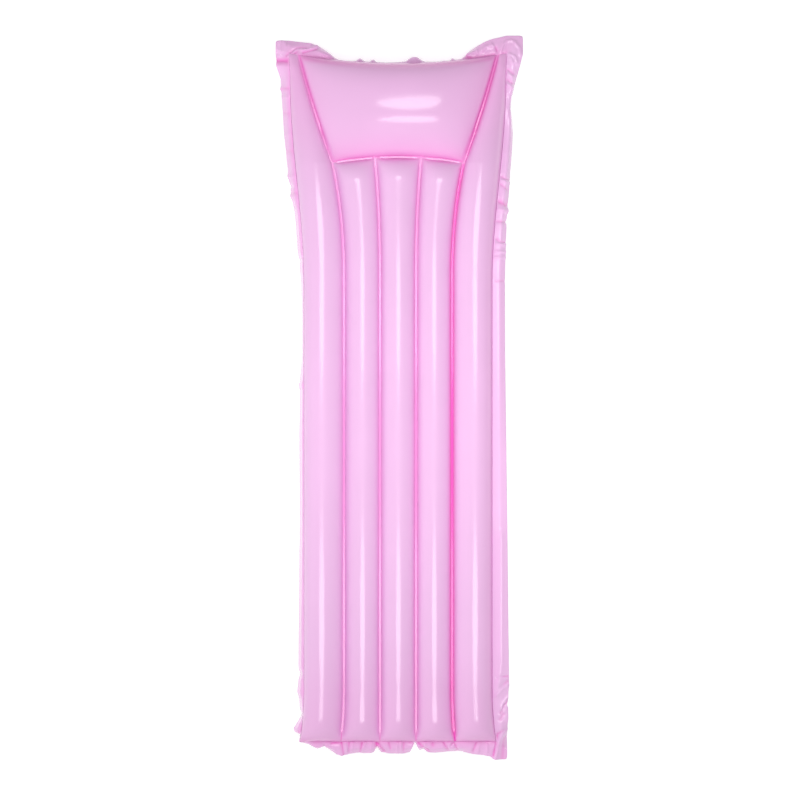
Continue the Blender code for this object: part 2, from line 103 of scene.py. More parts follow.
PILLOW_HALF_HEIGHT = 0.060
PILLOW_FLATNESS_ACROSS = 2.1
PILLOW_STEEPNESS_ACROSS = 0.5
PILLOW_FLATNESS_ALONG = 2.35
PILLOW_STEEPNESS_ALONG = 0.5
PILLOW_SPREAD = 1.25
PILLOW_SPREAD_BY = 0.3
LIFT_FROM_Y = 0.13
LIFT_TO_Y = 0.80
LIFT_EASE = 1.25

# %% [markdown]
# ## Small helpers
#
# A ramp goes from 0 to 1 between two values, and a smooth ramp starts and ends level. They work
# on whole arrays of points at once, so no loop runs over the vertices.

# %% Ramps and mixes
def mix(a, b, t):
    """Goes evenly from a to b as t goes from 0 to 1."""
    return a + (b - a) * t


def ramp(value, low, high):
    """0 below low, 1 above high, and even between them."""
    return np.clip((value - low) / (high - low), 0.0, 1.0)


def smooth(value, low, high):
    """A ramp with level ends: 3 t squared minus 2 t cubed."""
    t = ramp(value, low, high)
    return t * t * (3 - 2 * t)


# %% Seams in plan
def side_seam(y):
    """Half the width between the side seams: straight, wider beside the pillow and at the foot."""
    straight = OUTER_WELD_X + OUTER_TUBE_WIDTH
    foot = FOOT_SWELL * ramp(-y, -FOOT_SWELL_FROM_Y, -FOOT_SEAM_Y) ** 2
    head = straight + HEAD_SWELL * smooth(y, HEAD_SWELL_FROM_Y, HEAD_SWELL_TO_Y)
    return mix(head, HEAD_CORNER.x, ramp(y, HEAD_SWELL_TO_Y, HEAD_CORNER.y) ** 2) + foot


def outer_weld(y):
    """Half the distance between the outer welds, which go on as the pillow's slanted sides."""
    top = HEAD_CORNER.x - TUBE_TIP_WIDTH - WELD_WIDTH / 2
    share = ramp(y, PILLOW_CORNER.y, HEAD_CORNER.y)
    beside_pillow = mix(PILLOW_CORNER.x, top, share) + PILLOW_SIDE_BOW * 4 * share * (1 - share)
    fan = (PILLOW_CORNER.x - OUTER_WELD_X) * ramp(y, WELD_FAN_FROM_Y, PILLOW_CORNER.y) ** 2
    foot = FOOT_WELD_FAN * ramp(-y, -FOOT_SWELL_FROM_Y, -FOOT_SEAM_Y) ** 2
    return np.where(y > PILLOW_CORNER.y, beside_pillow, OUTER_WELD_X + fan + foot)


def inner_weld(y):
    """Half the distance between the inner welds, which spread a little towards the pillow."""
    return TUBE_PITCH / 2 + INNER_WELD_FAN * ramp(y, WELD_FAN_FROM_Y, PILLOW_CORNER.y) ** 2


def tube_edges(y):
    """Where each tube's film leaves its two welds: two arrays, one column for each tube."""
    half = WELD_WIDTH / 2
    right = [inner_weld(y), outer_weld(y), side_seam(y) + half]
    welds = np.stack([-right[2], -right[1], -right[0], *right], axis=-1)
    return welds[..., :-1] + half, welds[..., 1:] - half


def pillow_seam(x):
    """The seam between the pillow and the middle tubes: a parabola that bows to the head."""
    return PILLOW_CORNER.y + PILLOW_SEAM_BOW * (1 - ramp(abs(x), 0, PILLOW_CORNER.x) ** 2)


def head_seam(x):
    """The top seam: a parabola that the air draws in between the corners."""
    return HEAD_CORNER.y - HEAD_SEAM_BOW * (1 - ramp(abs(x), 0, HEAD_CORNER.x) ** 2)


# %% Heights
CAD_CROWN = cos(ARC_HALF_ANGLE / CAD_ARC_STEPS) - cos(ARC_HALF_ANGLE)
CROWN_TRIM = CAD_CROWN / (1 - cos(ARC_HALF_ANGLE))


def tube_half_height(width):
    """Half the height of a tube: its arc's rise, as tall as the CAD part's flat crown."""
    return width / 2 * CAD_CROWN / sin(ARC_HALF_ANGLE)


def end_height(distance, rounding=END_ROUNDING):
    """Share of its height that a tube has near its end: a stretched arc, steep at the seam."""
    sine = sin(END_ANGLE) * (1 - ramp(distance, 0, rounding))
    return (np.sqrt(1 - sine**2) - cos(END_ANGLE)) / (1 - cos(END_ANGLE))


def seam_level(x, y):
    """Height of the welds above the floor: tubes rest on it, and the pillow lifts its seams."""
    left, right = (edge[..., TUBES - 1] for edge in tube_edges(y))
    widest = np.maximum(2 * inner_weld(y), outer_weld(y) - inner_weld(y)) - WELD_WIDTH
    inner = tube_half_height(widest)
    low_corner = (1 - sin(ARC_HALF_ANGLE / CAD_ARC_STEPS) / sin(ARC_HALF_ANGLE)) / 2
    outer = inner + (tube_half_height(right - left) - inner) / low_corner
    flat = mix(inner, outer, ramp(abs(x), left, right))
    lift = 1 - (1 - ramp(y, LIFT_FROM_Y, LIFT_TO_Y) ** 2) ** LIFT_EASE
    return mix(flat, PILLOW_HALF_HEIGHT, lift) + GAP / 2 + FILM


print("Seam level in mm, at the side and in the middle of the foot half:",
      [round(1000 * float(seam_level(x, -0.4)), 1) for x in (side_seam(-0.4), 0.0)])

# %% [markdown]
# ## The two inflated films
#
# Air rounds a film into an arc between two welds. An arc could be got by simulating a pressed
# cloth, but a formula gives it exactly, with no wrinkles where the real film is taut. Each film
# is one grid: rows run from the foot seam to the head seam, and each tube has its own columns,
# closer together near the welds because they are evenly spaced in the arc's angle.

# %% Rows and columns of the grid
ARC_COLUMNS = 21
STRIP_COLUMNS = 3
END_ROWS = 12
ROW_STEP = 0.0055
PILLOW_ROWS = 56
WELD_END = 0.017

arc_angle = ARC_HALF_ANGLE * np.linspace(-1, 1, ARC_COLUMNS)
arc_place = (1 + np.sin(arc_angle) / sin(ARC_HALF_ANGLE)) / 2
arc_rise = CROWN_TRIM * (np.cos(arc_angle) - cos(ARC_HALF_ANGLE)) / (2 * sin(ARC_HALF_ANGLE))

tube_end_y = PILLOW_CORNER.y - WELD_WIDTH / 2
end_shares = 1 - np.cos(pi / 2 * np.linspace(0, 1, END_ROWS + 1))
foot_rows = FOOT_SEAM_Y + END_ROUNDING * end_shares
head_rows = tube_end_y - END_ROUNDING * end_shares[::-1]
middle_count = round((head_rows[0] - foot_rows[-1]) / ROW_STEP)
middle_rows = np.linspace(foot_rows[-1], head_rows[0], middle_count + 1)[1:-1]
body_y = np.concatenate([foot_rows, middle_rows, head_rows])
pillow_share = (1 - np.cos(pi * np.linspace(0, 1, PILLOW_ROWS + 1))) / 2
print("Rows:", len(body_y), "along the tubes and", len(pillow_share), "over the pillow")


def with_strips(tubes, strips=None):
    """Joins the tubes' columns, with a weld strip's columns in even steps between two tubes."""
    if strips is None:
        shares = np.linspace(0, 1, STRIP_COLUMNS + 2)[1:-1]
        strips = mix(tubes[:, :-1, -1:], tubes[:, 1:, :1], shares)
    columns = [tubes[:, 0]]
    for k in range(TUBES - 1):
        columns += [strips[:, k], tubes[:, k + 1]]
    return np.concatenate(columns, axis=1)


# %% Tubes
CHANNEL_RISE = 0.35
END_CREASE_SHARE, END_CREASE_WIDTH = 0.35, 0.002
HEAD_EASING = 0.15


def body_surface():
    """Across, along and height of the tubes: an arc over each tube's width, rounded at its ends.

    Past the welds' ends the tubes join in a channel along the foot seam, a low arc lengthwise
    with a crease from each weld's end to the seam. The middle tubes widen towards the pillow, and
    their crowns are eased down there, as the unbroken streaks in the photo show.
    """
    y = body_y[:, None, None]
    left, right = (edge[:, :, None] for edge in tube_edges(body_y))
    height = (right - left) * arc_rise * end_height(y - FOOT_SEAM_Y)
    easing = 1 - HEAD_EASING * ramp(y, WELD_FAN_FROM_Y, PILLOW_CORNER.y) ** 2
    height[:, 1:-1] *= end_height(tube_end_y - y) * easing
    across, height = with_strips(mix(left, right, arc_place)), with_strips(height)
    y = body_y[:, None]
    along_channel = ramp(y, FOOT_SEAM_Y, FOOT_SEAM_Y + WELD_END)
    channel = CHANNEL_RISE * WELD_END * np.sqrt(np.sin(pi * along_channel))
    creases = np.min([abs(abs(across) - weld(y)) for weld in (inner_weld, outer_weld)], axis=0)
    channel = channel * (1 - END_CREASE_SHARE * np.exp(-creases / END_CREASE_WIDTH))
    height = np.sqrt(height**2 + channel**2)
    height[:, 0] = height[:, -1] = 0
    bow = (pillow_seam(across) - PILLOW_CORNER.y) * smooth(y, LIFT_FROM_Y, PILLOW_CORNER.y)
    return across, y + bow, height


# %% Pillow and the tapering outer tubes
PILLOW_CREST_ALONG = 0.635
PILLOW_SKEW_ACROSS = 0.13
BESIDE_PILLOW = ARC_COLUMNS + STRIP_COLUMNS


def from_crest(share, crest):
    """-1 at the start, 0 at the crest and 1 at the end: even at first, then quickening smoothly."""
    beyond = (share - crest) / (1 - crest)
    slope = (1 - crest) / crest
    return np.where(share < crest, share / crest - 1, beyond * (slope + (1 - slope) * beyond))


def pillow_surface():
    """Across, along and height over the pillow: a crown of two power curves, one each way.

    The middle tubes' columns go on over the pillow and spread evenly between its slanted seams.
    The outer tubes keep their arcs, and taper to a point beside the head's corners. The crest
    lies nearer the pillow's wide end, and a little to the right, as the highlights show.
    """
    share = pillow_share[:, None]
    y = mix(PILLOW_CORNER.y, HEAD_CORNER.y, pillow_share)
    left, right = (edge[:, :, None] for edge in tube_edges(y))
    across = with_strips(mix(left, right, arc_place))
    taper = end_height(HEAD_CORNER.y - y, TIP_ROUNDING)[:, None, None]
    height = with_strips((right - left) * arc_rise * taper)
    pillow = slice(BESIDE_PILLOW, -BESIDE_PILLOW)
    half = (outer_weld(y) - WELD_WIDTH / 2)[:, None]
    place = np.linspace(-1, 1, across[0, pillow].size)
    even = half * np.sin(PILLOW_SPREAD * place) / sin(PILLOW_SPREAD)
    across[:, pillow] = mix(across[:1, pillow], even, smooth(share, 0, PILLOW_SPREAD_BY))
    start = np.full_like(across, PILLOW_CORNER.y)
    start[:, pillow] = pillow_seam(across[:, pillow]) + WELD_WIDTH / 2
    along = mix(start, head_seam(across), share)
    place = np.clip(across[:, pillow] / half, -1, 1)
    place = place - PILLOW_SKEW_ACROSS * (1 - place**2)
    side = 1 - abs(place) ** PILLOW_FLATNESS_ACROSS
    end = 1 - abs(from_crest(share, PILLOW_CREST_ALONG)) ** PILLOW_FLATNESS_ALONG
    height[:, pillow] = (PILLOW_HALF_HEIGHT * np.maximum(side, 0) ** PILLOW_STEEPNESS_ACROSS
                         * end**PILLOW_STEEPNESS_ALONG)
    return across, along, height


film_x, film_y, film_height = (np.vstack(parts) for parts in zip(body_surface(), pillow_surface()))
film_level = seam_level(film_x, film_y)
print("Films:", film_x.shape[0], "rows by", film_x.shape[1], "columns")


# %% Meshes from grids
def grid_faces(rows, columns, flipped=False, ring=False, closed=False):
    """Four-sided faces between neighbours of a grid.

    In a ring the last row joins up with the first one, and closed does the same for columns.
    """
    first = np.arange(rows if ring else rows - 1)[:, None]
    column = np.arange(columns if closed else columns - 1)[None, :]
    below, beside = (first + 1) % rows, (column + 1) % columns
    corners = [first * columns + column, first * columns + beside,
               below * columns + beside, below * columns + column]
    faces = np.stack([corner.ravel() for corner in corners], axis=1)
    return faces[:, ::-1] if flipped else faces


def add_mesh(name, points, faces, material, crease=None):
    """A smooth-shaded piece from an array of points and an array of faces."""
    mesh = bpy.data.meshes.new(name)
    mesh.from_pydata(points.reshape(-1, 3).tolist(), [], faces.tolist())
    mesh.shade_smooth()
    if crease is not None:
        mesh.set_sharp_from_angle(angle=crease)
    mesh.materials.append(material)
    piece = bpy.data.objects.new(name, mesh)
    bpy.context.scene.collection.objects.link(piece)
    return piece


def add_attribute(piece, name, values):
    """One number for each point, which the material reads."""
    attribute = piece.data.attributes.new(name, "FLOAT", "POINT")
    attribute.data.foreach_set("value", np.asarray(values, np.float32).ravel())


def thicken(piece, thickness, offset):
    """Gives a film its thickness."""
    wall = piece.modifiers.new("thickness", "SOLIDIFY")
    wall.thickness = thickness
    wall.offset = offset


# %% [markdown]
# ## Vinyl
#
# The real film is a soft, glossy, slightly see-through pink. Light bounces between the steep
# flanks beside a weld, and each bounce off pink vinyl takes more of the green away, so the
# grooves look hot pink. The tubes' flanks do some of that here by themselves, and an attribute
# worked out with the shape paints the rest of that shade into the colour close to the welds.

# %% Vinyl material
FILM_PINK = (0.910, 0.545, 0.865, 1)
# The flange's pink is a paler copy of the film's: painted light, making up for the light that the
# flange lacks beside the tubes.
FLANGE_LIT_PINK = (0.970, 0.580, 0.920, 1)
# The hot pink of painted shade, mixed in where grooves, seams and folds would lie in shade.
SHADE_PINK = (0.960, 0.100, 0.600, 1)
VALVE_PINK = (0.900, 0.640, 0.840, 1)
PLUG_PINK = (0.820, 0.400, 0.680, 1)
FLAP_PINK = (0.860, 0.700, 0.840, 1)
BROAD_NOISE = {"Scale": 9.0, "Detail": 3.0}
FINE_NOISE = {"Scale": 160.0, "Detail": 4.0}
SHADE_SPREAD = 0.03
GLOSS_SPREAD = 0.03
RIPPLE_HEIGHT = 0.0004
COAT = {"Coat Weight": 0.2, "Coat Roughness": 0.08}


def set_inputs(made, inputs):
    """Gives a node's inputs their values, or links them to other nodes' outputs."""
    for name, value in inputs.items():
        if isinstance(value, bpy.types.NodeSocket):
            made.id_data.links.new(value, made.inputs[name])
        else:
            made.inputs[name].default_value = value


def node(tree, kind, output, inputs=None, **settings):
    """A new node with its settings and inputs, which hands on one of its outputs."""
    made = tree.nodes.new(kind)
    for name, value in settings.items():
        setattr(made, name, value)
    set_inputs(made, inputs or {})
    return made.outputs[output]


def spread(tree, noise, middle, reach):
    """Turns noise into values that spread evenly round a middle one."""
    ends = {"To Min": middle - reach, "To Max": middle + reach}
    return node(tree, "ShaderNodeMapRange", "Result", {"Value": noise, **ends})


def vinyl(name, colour, roughness, ripple):
    """Glossy vinyl: noise at two scales varies its colour, gloss and surface a little."""
    material = bpy.data.materials.new(name)
    material.use_nodes = True
    tree = material.node_tree
    place = node(tree, "ShaderNodeTexCoord", "Object")
    broad = node(tree, "ShaderNodeTexNoise", "Fac", {"Vector": place, **BROAD_NOISE})
    fine = node(tree, "ShaderNodeTexNoise", "Fac", {"Vector": place, **FINE_NOISE})
    # Painted shade: an attribute mixes the colour towards hot pink in the grooves, hollows and folds.
    groove_shade = node(tree, "ShaderNodeAttribute", "Fac", attribute_name="groove_shade")
    tint = node(tree, "ShaderNodeMix", "Result",
                {"Factor": groove_shade, "A": colour, "B": SHADE_PINK}, data_type="RGBA")
    shade = spread(tree, broad, 1, SHADE_SPREAD)
    tone = node(tree, "ShaderNodeMix", "Result", {"Factor": 1.0, "A": tint, "B": shade},
                data_type="RGBA", blend_type="MULTIPLY")
    bump = node(tree, "ShaderNodeBump", "Normal",
                {"Height": fine, "Strength": ripple, "Distance": RIPPLE_HEIGHT})
    set_inputs(tree.nodes["Principled BSDF"], {
        "Base Color": tone, "Roughness": spread(tree, fine, roughness, GLOSS_SPREAD),
        "Normal": bump, **COAT})
    return material


film_vinyl = vinyl("film_vinyl", FILM_PINK, roughness=0.13, ripple=0.08)
flange_vinyl = vinyl("flange_vinyl", FLANGE_LIT_PINK, roughness=0.16, ripple=0.12)

# %% [markdown]
# ## Painted shade in the grooves
#
# The attribute paints shade: strongest on the flank right beside a weld, it fades out up the flank.
# The weld strip itself is flat and faces the light, so it is painted paler than its two edges. Broad
# faint tints paint shade on the outer tubes beside the pillow, the pillow's lower part and the foot.

# %% Painted shade attribute
# Painted shade: each seam's strength and fade, a band under the head seam's overhang, the outer tubes
# beside the pillow, the whole pillow and the foot, where less light falls.
NARROW_FADE = 0.0035
BROAD_FADE = 0.028
SEAM_FADE = 0.006
WELD_TINTS = (0.02, 0.10, 0.20, 0.30, 0.72, 0.25)
SIDE_TINT, SIDE_FADE = 0.22, 0.012
STRIP_TINTS = (0.50, 0.42, 0.50, 1.00)
SLANT_TINT, SLANT_BROAD_LEFT, SLANT_BROAD_RIGHT = 0.50, 0.08, 0.20
PILLOW_TINT, PILLOW_BROAD, PILLOW_ALL_SHADE = 0.24, 0.38, 0.04
HEAD_BAND_SHADE, HEAD_BAND_AT, HEAD_BAND_WIDTH = 0.40, 0.006, 0.009
TUBE_END_SHADE = 0.12
BESIDE_PILLOW_SHADE, BESIDE_FROM_TO = 0.16, (0.46, 0.80)
FOOT_SEAM_SHADE = 0.30
FOOT_BROAD, FOOT_BROAD_FROM_Y, FOOT_BROAD_TO_Y = 0.08, -0.55, -0.80
WELD_END_SPOTS = [(0.1375, -0.810, 0.9), (0.045, -0.810, 0.5), (-0.1375, -0.810, 0.2),
                  (0.149, 0.552, 0.8)]
SPOT_RADIUS = 0.003


def fade(distance, narrow, broad=0.0):
    """Falls off from a seam: a narrow exponential curve plus a broad one."""
    distance = np.maximum(distance, 0)
    return narrow * np.exp(-distance / NARROW_FADE) + broad * np.exp(-distance / BROAD_FADE)


def painted_seam_shade():
    """Painted shade: how deep the pink is at each point, each seam's own strength falling off up the
    flanks.
    """
    rows = film_x.shape[0]
    tints = np.array(WELD_TINTS)[:, None]
    left, right = (edge[:, :, None] for edge in tube_edges(np.concatenate(
        [body_y, mix(PILLOW_CORNER.y, HEAD_CORNER.y, pillow_share)])))
    across = mix(left, right, arc_place)
    tubes = np.maximum(fade(across - left, tints[:-1]), fade(right - across, tints[1:]))
    from_right_side = (right - across)[:, -1]
    tubes[:, -1] = np.maximum(tubes[:, -1], SIDE_TINT * np.exp(-from_right_side / SIDE_FADE))
    strips = np.tile(np.array(STRIP_TINTS)[:, None], (rows, 1, STRIP_COLUMNS))
    tint = with_strips(tubes, strips)
    body = np.arange(rows)[:, None] < len(body_y)
    columns = np.arange(film_x.shape[1])[None, :]
    middle = (columns >= BESIDE_PILLOW) & (columns < film_x.shape[1] - BESIDE_PILLOW)
    from_seam = abs(film_y - pillow_seam(film_x)) - WELD_WIDTH / 2
    from_side = outer_weld(film_y) - WELD_WIDTH / 2 - abs(film_x)
    from_head = head_seam(film_x) - film_y
    slanted = fade(from_side, SLANT_TINT, np.where(film_x < 0, SLANT_BROAD_LEFT, SLANT_BROAD_RIGHT))
    lower = fade(from_seam, PILLOW_TINT, PILLOW_BROAD)
    upper = HEAD_BAND_SHADE * np.exp(-(((from_head - HEAD_BAND_AT) / HEAD_BAND_WIDTH) ** 2))
    foot = FOOT_SEAM_SHADE * np.exp(-(film_y - FOOT_SEAM_Y) / SEAM_FADE)
    foot += FOOT_BROAD * smooth(-film_y, -FOOT_BROAD_FROM_Y, -FOOT_BROAD_TO_Y)
    tint = np.where(body & middle, np.maximum(tint, fade(from_seam, TUBE_END_SHADE)), tint)
    tint = np.where(body, np.maximum(tint, foot), tint)
    tint = np.where(~body & middle, np.max([slanted, lower, upper], axis=0) + PILLOW_ALL_SHADE, tint)
    tint = np.where(middle, tint, np.maximum(tint, BESIDE_PILLOW_SHADE * smooth(film_y, *BESIDE_FROM_TO)))
    strip = (columns // BESIDE_PILLOW == 0) & (columns >= ARC_COLUMNS)
    tint = np.where(~body & (strip | strip[:, ::-1]), SLANT_TINT, tint)
    for x, y, strength in WELD_END_SPOTS:
        spot = np.exp(-((film_x - x) ** 2 + (film_y - y) ** 2) / SPOT_RADIUS**2)
        tint = np.maximum(tint, strength * spot)
    return tint


groove_shade = painted_seam_shade()

# %% [markdown]
# ## Places of the valves
#
# Each chamber has a valve on the underside, one on the right outer tube's low flank and one
# under the pillow. The joints tell where: a stem slides out of the film along its own axis, and
# its plug turns about an axis across it. Those two and a point on the hinge fix a frame.

# %% Valve frames
STEM_RADIUS = 0.0060
HINGE_REACH = 0.0105
HINGE_HEIGHT = 0.0038
OPENING_RADIUS = 0.0116
BASE_RADIUS = 0.0170
COLLAR_THICKNESS = 0.0008
HOLE_DEPTH = 0.006
PAD_RADIUS = 0.021
PAD_FADE = 0.015
PAD_DEPTHS = 0.010, 0.020
FREE_HEIGHT = 0.002


def valve_frame(valve):
    """The valve's axes, as rows, and its origin in the film's outer face.

    Its z points out of the film and its y lies along the plug's hinge.
    """
    out = np.array(joints[f"{valve}_stem_slide"]["axis"])
    hinge = joints[f"{valve}_plug_hinge"]
    axes = np.array([np.cross(hinge["axis"], out), hinge["axis"], out])
    return axes, np.array(hinge["pos_m"]) - HINGE_REACH * axes[0] - HINGE_HEIGHT * axes[2]


valve_frames = {valve: valve_frame(valve) for valve in ("tube", "pillow")}


def flattened(points):
    """Lays the film flat round each valve, where the base is welded on, and fades that out.

    The seams and welds stay where they are, because both films share them.
    """
    free = smooth(film_height, 0, FREE_HEIGHT)
    for axes, origin in valve_frames.values():
        place = (points - origin) @ axes.T
        depth = place[..., 2] + FILM
        near = 1 - smooth(np.hypot(place[..., 0], place[..., 1]), PAD_RADIUS, PAD_RADIUS + PAD_FADE)
        near *= free * (1 - smooth(abs(depth), *PAD_DEPTHS))
        print("The film moves by up to", round(1000 * abs(near * depth).max(), 1), "mm at a valve")
        points = points - (near * depth)[..., None] * axes[2]
    return points


# %% Turned and swept shapes
TURN_STEPS = 72
CORNER_STEPS = 5
MOST_ROUNDED = 0.45
SECTION_STEPS = 24
SECTION_SQUARENESS = 0.35
CAP_INSET = 0.0002
CAP_SHARE = 0.80
MERGE_DISTANCE = 1e-6
VALVE_CREASE = radians(40)
FILM_CREASE = radians(50)


def rounded(profile, radius, closed=True):
    """A profile whose corners turn into short curves. An open one keeps its two ends."""
    points = np.array(profile)

    def towards(other):
        gap = other - points
        length = np.linalg.norm(gap, axis=1, keepdims=True)
        return points + gap * np.minimum(radius / length, MOST_ROUNDED)

    start, end = towards(np.roll(points, 1, axis=0)), towards(np.roll(points, -1, axis=0))
    t = np.linspace(0, 1, CORNER_STEPS)[:, None]
    curve = (1 - t) ** 2 * start[:, None] + 2 * t * (1 - t) * points[:, None] + t**2 * end[:, None]
    if closed:
        return curve.reshape(-1, 2)
    return np.vstack([points[:1], curve[1:-1].reshape(-1, 2), points[-1:]])


def divided(profile, step):
    """A closed profile with points in even steps along it, so that it can bend."""
    points = np.vstack([profile, profile[:1]])
    travelled = np.cumsum([0, *np.linalg.norm(np.diff(points, axis=0), axis=1)])
    stops = np.linspace(0, travelled[-1], round(travelled[-1] / step), endpoint=False)
    stops = np.unique(np.concatenate([stops, travelled[:-1]]))
    return np.stack([np.interp(stops, travelled, points[:, k]) for k in (0, 1)], axis=1)


def turned(profile, closed=True):
    """A profile of (radius, height) turned about the valve's axis: one ring for each point."""
    turn = 2 * pi * np.arange(TURN_STEPS)[:, None] / TURN_STEPS
    radius, height = np.array(profile).T
    points = np.stack([np.cos(turn) * radius, np.sin(turn) * radius, height + 0 * turn], axis=-1)
    return points.reshape(-1, 3), grid_faces(TURN_STEPS, len(radius), ring=True, closed=closed)


def swept(path, width, thickness):
    """A band along a path of (x, height) points: a soft-edged section, with both ends closed."""
    path = np.array(path)
    along = np.gradient(path, axis=0)
    along /= np.linalg.norm(along, axis=1, keepdims=True)
    path = np.vstack([path[[0, 0]], path, path[[-1, -1]]])
    along = np.vstack([along[[0, 0]], along, along[[-1, -1]]])
    path[2] += CAP_INSET * along[2]
    path[-3] -= CAP_INSET * along[-3]
    size = np.array([0, CAP_SHARE, *np.ones(len(path) - 4), CAP_SHARE, 0])[:, None]
    turn = 2 * pi * np.arange(SECTION_STEPS) / SECTION_STEPS
    side, rise = (np.sign(f) * abs(f) ** SECTION_SQUARENESS for f in (np.cos(turn), np.sin(turn)))
    lift = size * rise * thickness / 2
    points = np.stack([path[:, :1] - along[:, 1:] * lift, size * side * width / 2,
                       path[:, 1:] + along[:, :1] * lift], axis=-1)
    return points.reshape(-1, 3), grid_faces(len(path), SECTION_STEPS, closed=True)


def valve_piece(name, valve, shells, material):
    """Closed shells in a valve's frame, put in one mesh, with their poles merged."""
    axes, origin = valve_frames[valve]
    starts = np.cumsum([0] + [len(points) for points, faces in shells[:-1]])
    points = np.vstack([points for points, faces in shells]) @ axes + origin
    faces = np.vstack([faces + start for (_, faces), start in zip(shells, starts)])
    piece = add_mesh(name, points, faces, material)
    shape = bmesh.new()
    shape.from_mesh(piece.data)
    bmesh.ops.remove_doubles(shape, verts=shape.verts, dist=MERGE_DISTANCE)
    bmesh.ops.recalc_face_normals(shape, faces=shape.faces)
    shape.to_mesh(piece.data)
    shape.free()
    piece.data.set_sharp_from_angle(angle=VALVE_CREASE)
    return piece


def cut_holes(piece):
    """Cuts a round hole for each valve, and keeps the result as the piece's own mesh."""
    hole = OPENING_RADIUS + COLLAR_THICKNESS + GAP
    outline = [(0, -HOLE_DEPTH), (hole, -HOLE_DEPTH), (hole, HOLE_DEPTH), (0, HOLE_DEPTH)]
    cutters = [valve_piece(f"{valve}_hole", valve, [turned(outline, closed=False)], film_vinyl)
               for valve in valve_frames]
    for cutter in cutters:
        cut = piece.modifiers.new(cutter.name, "BOOLEAN")
        cut.operation = "DIFFERENCE"
        cut.solver = "EXACT"
        cut.object = cutter
    done = piece.evaluated_get(bpy.context.evaluated_depsgraph_get())
    piece.data = bpy.data.meshes.new_from_object(done)
    piece.modifiers.clear()
    piece.data.set_sharp_from_angle(angle=FILM_CREASE)
    for cutter in cutters:
        bpy.data.objects.remove(cutter)


# %% Films
FLOOR_GAP = 0.0001


def film(name, side):
    """One film: the welds' level plus or minus the height, thickened outwards."""
    z = film_level + side * (GAP / 2 + film_height)
    points = np.stack([film_x, film_y, np.maximum(z, FILM + FLOOR_GAP)], axis=-1)
    if side < 0:
        points = flattened(points)
    faces = grid_faces(*film_x.shape, flipped=side < 0)
    piece = add_mesh(name, points, faces, film_vinyl, FILM_CREASE)
    add_attribute(piece, "groove_shade", groove_shade)
    thicken(piece, FILM, 1.0)
    if side < 0:
        cut_holes(piece)
    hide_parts("upper_sheet" if side > 0 else "lower_sheet")
    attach(piece, "float")
    return piece


upper_film, lower_film = film("upper_film", 1), film("lower_film", -1)
print("Faces of the upper and lower film:",
      [len(piece.data.polygons) for piece in (upper_film, lower_film)])

# %% [markdown]
# ## The flange
#
# Outside the side, head and foot seams the two films go on as a loose margin. It sticks out on
# the right and at the foot, hangs down beside the left tube and over the pillow's end, and makes
# square tabs at the head's corners. A strip is carried along the closed seam. Its cross-section
# starts at its own tilt and bends down by the angle that gives the reach seen from above.
#
# Two lists give the outline that the photo shows. The reaches name places along each edge in m,
# with the reach there in mm. The scallops add small bumps and dips to it, each with its place
# in m, the change of reach in mm and its width in m.

# %% Reach of the flange
FLANGE_LAYERS = 0.0008
STATION_STEPS = {"right": 0.0025, "head": 0.0015, "left": 0.0025, "foot": 0.0012}
CORNER_RADIUS = 0.002
CORNER_STATIONS = 22
TAB_SQUARENESS = 16
REACH_COLUMNS = 19

STRIP_TILTS = {"right": -8, "head": 3, "left": 16, "foot": 2}
# Painted shade on each edge of the flange, deepest at the head's tabs and at the foot, where it gets
# less light.
FLANGE_SHADES = {"right": 0.0, "head": 0.08, "left": 0.05, "foot": 0.08}
HEAD_SHADE_FROM = 0.11, 0.17
LEVEL_SHARES = {"right": 0.3, "head": 0.3, "left": 0.0, "foot": 0.3}
REACHES = {
    "right": [(-0.828, 26), (-0.80, 29.5), (-0.77, 36), (-0.72, 38), (-0.69, 40.5), (-0.50, 38),
              (-0.30, 36), (-0.09, 33.5), (0.11, 31), (0.35, 30.5), (0.44, 27), (0.51, 26),
              (0.54, 24.5), (0.60, 23.5), (0.64, 22), (0.70, 13.5), (0.73, 15), (0.756, 21.5),
              (0.80, 33), (0.829, 39)],
    "head": [(0.262, 43), (0.225, 40.5), (0.21, 37), (0.19, 29), (0.17, 19), (0.15, 4), (0.12, -2),
             (0.095, -1), (0.07, 3), (0.02, 8), (-0.03, 1), (-0.06, 5), (-0.11, 0), (-0.135, 0),
             (-0.15, 7), (-0.175, 22), (-0.192, 29), (-0.21, 33.5), (-0.262, 31)],
    "left": [(0.829, 32.5), (0.80, 33), (0.77, 23), (0.74, 20.5), (0.60, 20), (0.54, 19), (0.49, 17.5),
             (0.45, 13), (0.36, 13), (0.28, 7), (0.2, 4.5), (0.1, 4.5), (0.05, 9), (-0.09, 11),
             (-0.3, 10), (-0.5, 12), (-0.62, 13), (-0.70, 14), (-0.745, 9), (-0.768, 4),
             (-0.787, 14), (-0.798, 18), (-0.806, 16), (-0.814, 2), (-0.828, 2)],
    "foot": [(-0.237, 2), (-0.228, 6), (-0.215, 10), (-0.195, 19), (-0.178, 13.5), (-0.16, 24),
             (-0.148, 32), (-0.134, 35), (-0.12, 30.5), (-0.10, 28), (-0.075, 29), (-0.065, 28.5),
             (-0.035, 28), (-0.02, 30), (0.015, 30), (0.022, 28), (0.09, 28), (0.12, 25.5),
             (0.15, 24), (0.18, 31), (0.205, 33), (0.222, 36), (0.229, 42), (0.237, 44)],
}
SCALLOPS = {
    "right": [(0.451, 3, 0.006), (0.425, -2, 0.006), (0.735, 1.5, 0.006), (-0.738, -3, 0.005)],
    "head": [(0.041, 11, 0.018), (0.018, -2, 0.006), (-0.092, 10, 0.010), (-0.06, 6, 0.007),
             (0.110, 6, 0.006), (0.131, 9, 0.006)],
    "left": [(0.745, 4, 0.006), (0.535, 2, 0.008), (0.51, -2.5, 0.006), (0.487, 3, 0.007),
             (0.33, -3, 0.008), (0.03, 3, 0.008), (-0.666, -4, 0.010), (-0.71, 3, 0.010)],
    "foot": [(-0.05, -9, 0.007), (0.041, -22, 0.008), (0.060, -8, 0.008), (-0.137, 1, 0.004)],
}
